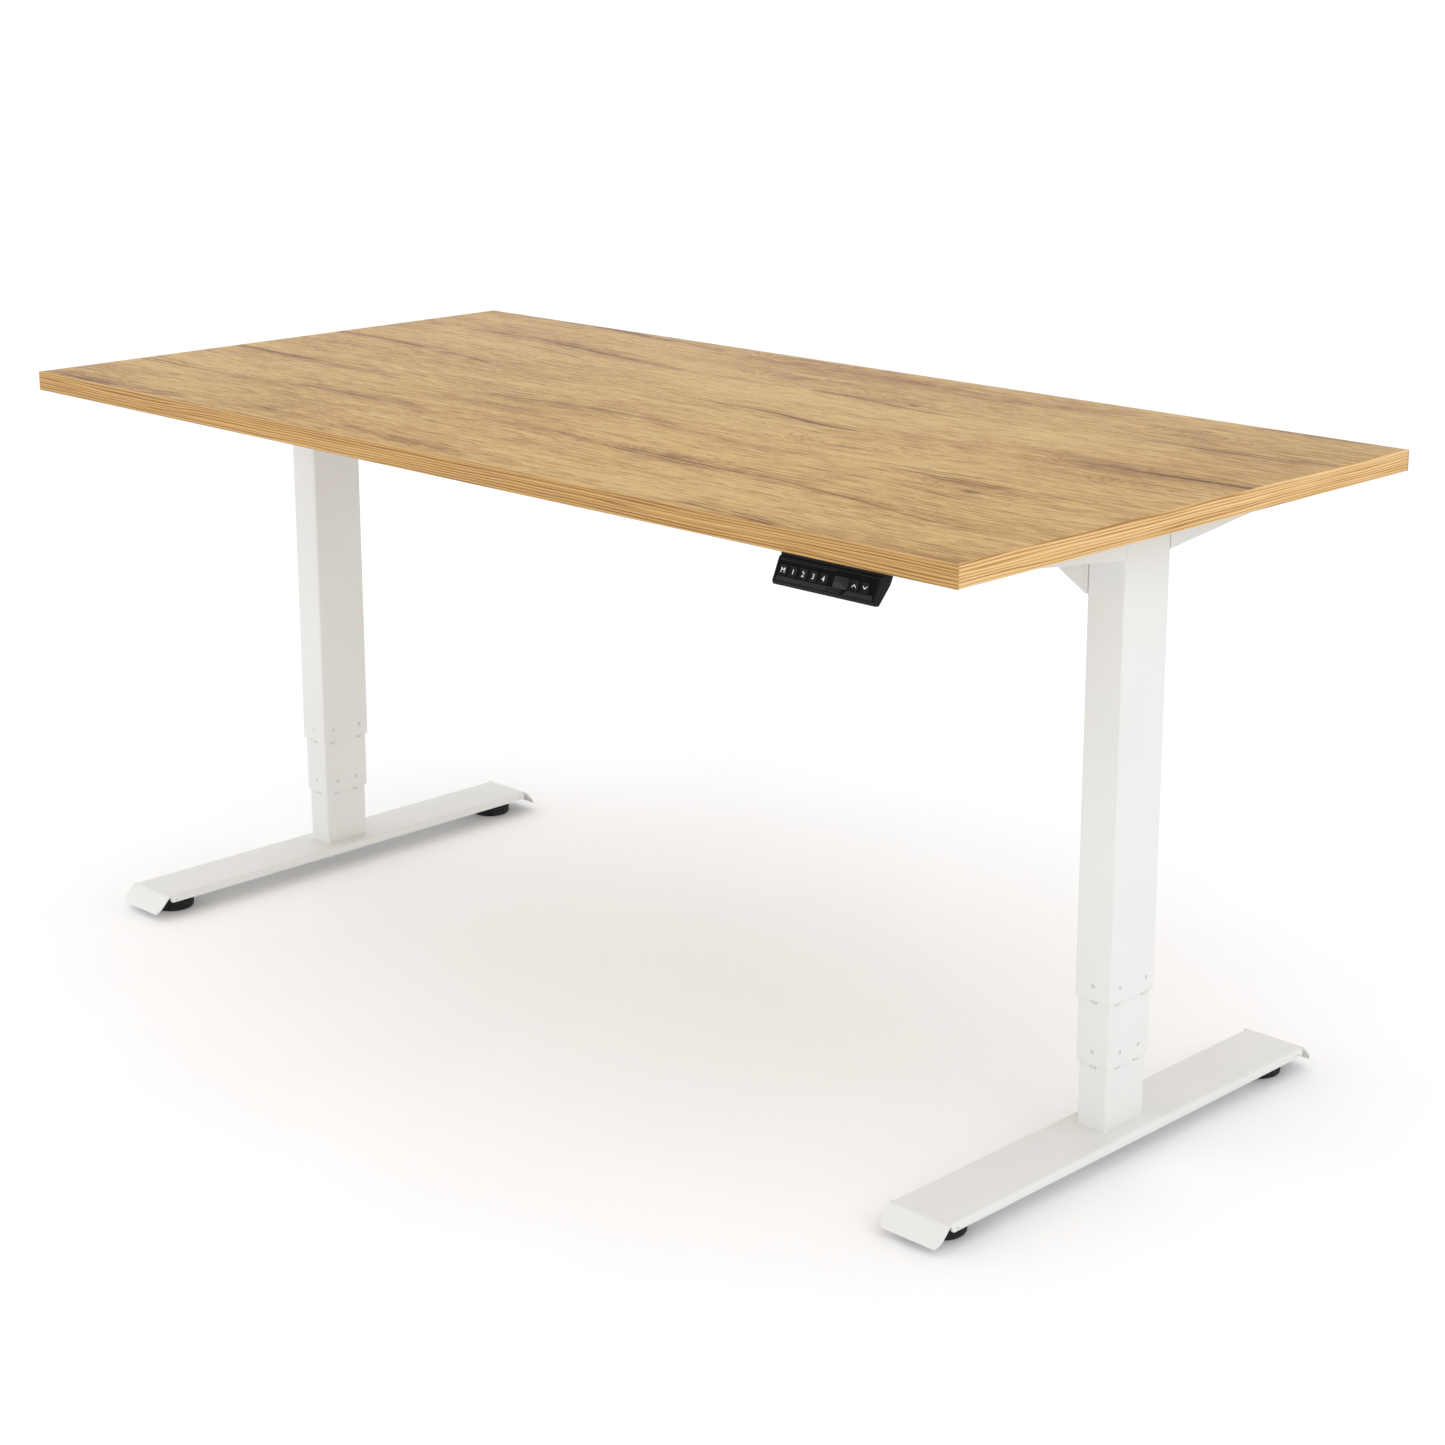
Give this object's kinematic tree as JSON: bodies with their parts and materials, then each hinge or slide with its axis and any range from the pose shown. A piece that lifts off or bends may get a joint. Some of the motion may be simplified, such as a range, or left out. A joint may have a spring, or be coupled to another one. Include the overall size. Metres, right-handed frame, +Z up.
{
  "type": "height adjustable standing desk",
  "caption": "Rectangular wooden desk top on two telescopic steel columns with T-shaped feet, driven up and down by motors, with a push-button handset under the front edge.",
  "frame": {"origin": "on the floor, under the middle of the desk top", "axes": "+X along the long edge to the user's right, -Y towards the user, +Z up"},
  "size_m": [1.6, 0.8125, 0.76],
  "materials": {
    "oak_decor": "satin oak-decor laminate on particle board",
    "oak_edging": "wood-grain plastic edge band",
    "white_powder_coat": "fine-textured white powder coat",
    "zinc_steel": "zinc plated",
    "rubber": "matt black",
    "glide_plastic": "natural white acetal",
    "nut_steel": "machined",
    "raw_steel": "bare",
    "black_plastic": "textured black",
    "socket_plastic": "plain",
    "handset_plastic": "fine matt black",
    "gloss_panel": "glossy black",
    "display_window": "smoked",
    "display_module": "display block",
    "circuit_board": "solder mask",
    "key_plastic": "satin black keys",
    "gear_housing": "die cast",
    "motor_steel": "black painted can",
    "screw_steel": "ground, greased",
    "glide_rubber": "black moulded"
  },
  "bodies": {
    "base": {"foot_left": "white_powder_coat", "foot_right": "white_powder_coat", "foot_bolts": "zinc_steel", "glide_nuts": "zinc_steel", "base_plates": "raw_steel", "inner_tube_left": "white_powder_coat", "inner_tube_right": "white_powder_coat", "base_nuts": "nut_steel", "inner_pads": "glide_plastic"},
    "top": {"desktop_board": "oak_decor", "edge_bands_long": "oak_edging", "edge_bands_short": "oak_edging", "desktop_screws": "zinc_steel", "damping_pads": "rubber", "crossbeam_centre": "white_powder_coat", "frame_bolts": "zinc_steel", "frame_nuts": "zinc_steel", "outer_pads": "glide_plastic", "control_box": "black_plastic", "control_sockets": "socket_plastic", "handset_housing": "handset_plastic", "handset_panel": "gloss_panel", "display_window": "display_window", "display_module": "display_module", "handset_circuit_board": "circuit_board", "side_bracket_left": "white_powder_coat", "crossbeam_end_left": "white_powder_coat", "head_bracket_left": "white_powder_coat", "outer_tube_left": "white_powder_coat", "gearbox_left": "gear_housing", "motor_left": "motor_steel", "side_bracket_right": "white_powder_coat", "crossbeam_end_right": "white_powder_coat", "head_bracket_right": "white_powder_coat", "outer_tube_right": "white_powder_coat", "gearbox_right": "gear_housing", "motor_right": "motor_steel"},
    "middle_stage_left": {"middle_tube_left": "white_powder_coat", "middle_pads_left": "glide_plastic", "middle_hub_left": "nut_steel"},
    "drive_screw_left": {"drive_screw_left": "screw_steel"},
    "hollow_screw_left": {"hollow_screw_left": "screw_steel"},
    "middle_stage_right": {"middle_tube_right": "white_powder_coat", "middle_pads_right": "glide_plastic", "middle_hub_right": "nut_steel"},
    "drive_screw_right": {"drive_screw_right": "screw_steel"},
    "hollow_screw_right": {"hollow_screw_right": "screw_steel"},
    "levelling_glide_front_left": {"levelling_glide_front_left": "glide_rubber"},
    "levelling_glide_back_left": {"levelling_glide_back_left": "glide_rubber"},
    "levelling_glide_front_right": {"levelling_glide_front_right": "glide_rubber"},
    "levelling_glide_back_right": {"levelling_glide_back_right": "glide_rubber"},
    "key_memory": {"key_memory": "key_plastic"},
    "key_1": {"key_1": "key_plastic"},
    "key_2": {"key_2": "key_plastic"},
    "key_3": {"key_3": "key_plastic"},
    "key_4": {"key_4": "key_plastic"},
    "key_up": {"key_up": "key_plastic"},
    "key_down": {"key_down": "key_plastic"}
  },
  "joints": [
    {"name": "lift", "type": "slide", "parent": "base", "child": "top", "axis": [0, 0, 1], "range_m": [-0.13, 0.52]},
    {"name": "middle_lift_left", "type": "slide", "parent": "base", "child": "middle_stage_left", "axis": [0, 0, 1], "range_m": [-0.0652, 0.2602]},
    {"name": "drive_screw_turn_left", "type": "hinge", "parent": "top", "child": "drive_screw_left", "pos_m": [-0.706, 0, 0.45], "axis": [0, 0, 1], "range_deg": [-2342, 9362]},
    {"name": "hollow_screw_turn_left", "type": "hinge", "parent": "middle_stage_left", "child": "hollow_screw_left", "pos_m": [-0.706, 0, 0.45], "axis": [0, 0, 1], "range_deg": [-2342, 9362]},
    {"name": "middle_lift_right", "type": "slide", "parent": "base", "child": "middle_stage_right", "axis": [0, 0, 1], "range_m": [-0.0652, 0.2602]},
    {"name": "drive_screw_turn_right", "type": "hinge", "parent": "top", "child": "drive_screw_right", "pos_m": [0.706, 0, 0.45], "axis": [0, 0, 1], "range_deg": [-2342, 9362]},
    {"name": "hollow_screw_turn_right", "type": "hinge", "parent": "middle_stage_right", "child": "hollow_screw_right", "pos_m": [0.706, 0, 0.45], "axis": [0, 0, 1], "range_deg": [-2342, 9362]},
    {"name": "glide_turn_front_left", "type": "hinge", "parent": "base", "child": "levelling_glide_front_left", "pos_m": [-0.706, -0.293, 0], "axis": [0, 0, 1], "continuous": true},
    {"name": "glide_turn_back_left", "type": "hinge", "parent": "base", "child": "levelling_glide_back_left", "pos_m": [-0.706, 0.293, 0], "axis": [0, 0, 1], "continuous": true},
    {"name": "glide_turn_front_right", "type": "hinge", "parent": "base", "child": "levelling_glide_front_right", "pos_m": [0.706, -0.293, 0], "axis": [0, 0, 1], "continuous": true},
    {"name": "glide_turn_back_right", "type": "hinge", "parent": "base", "child": "levelling_glide_back_right", "pos_m": [0.706, 0.293, 0], "axis": [0, 0, 1], "continuous": true},
    {"name": "key_memory_press", "type": "slide", "parent": "top", "child": "key_memory", "axis": [0, 0.9124, -0.4094], "range_m": [0, 0.0006], "stiffness_N_per_m": 400},
    {"name": "key_1_press", "type": "slide", "parent": "top", "child": "key_1", "axis": [0, 0.9124, -0.4094], "range_m": [0, 0.0006], "stiffness_N_per_m": 400},
    {"name": "key_2_press", "type": "slide", "parent": "top", "child": "key_2", "axis": [0, 0.9124, -0.4094], "range_m": [0, 0.0006], "stiffness_N_per_m": 400},
    {"name": "key_3_press", "type": "slide", "parent": "top", "child": "key_3", "axis": [0, 0.9124, -0.4094], "range_m": [0, 0.0006], "stiffness_N_per_m": 400},
    {"name": "key_4_press", "type": "slide", "parent": "top", "child": "key_4", "axis": [0, 0.9124, -0.4094], "range_m": [0, 0.0006], "stiffness_N_per_m": 400},
    {"name": "key_up_press", "type": "slide", "parent": "top", "child": "key_up", "axis": [0, 0.9124, -0.4094], "range_m": [0, 0.0006], "stiffness_N_per_m": 400},
    {"name": "key_down_press", "type": "slide", "parent": "top", "child": "key_down", "axis": [0, 0.9124, -0.4094], "range_m": [0, 0.0006], "stiffness_N_per_m": 400}
  ],
  "couplings": [
    {"joint": "middle_lift_left", "follows": "lift", "ratio": 0.5},
    {"joint": "drive_screw_turn_left", "follows": "lift", "rad_per_m": 314.16},
    {"joint": "hollow_screw_turn_left", "follows": "lift", "rad_per_m": 314.16},
    {"joint": "middle_lift_right", "follows": "lift", "ratio": 0.5},
    {"joint": "drive_screw_turn_right", "follows": "lift", "rad_per_m": 314.16},
    {"joint": "hollow_screw_turn_right", "follows": "lift", "rad_per_m": 314.16}
  ]
}
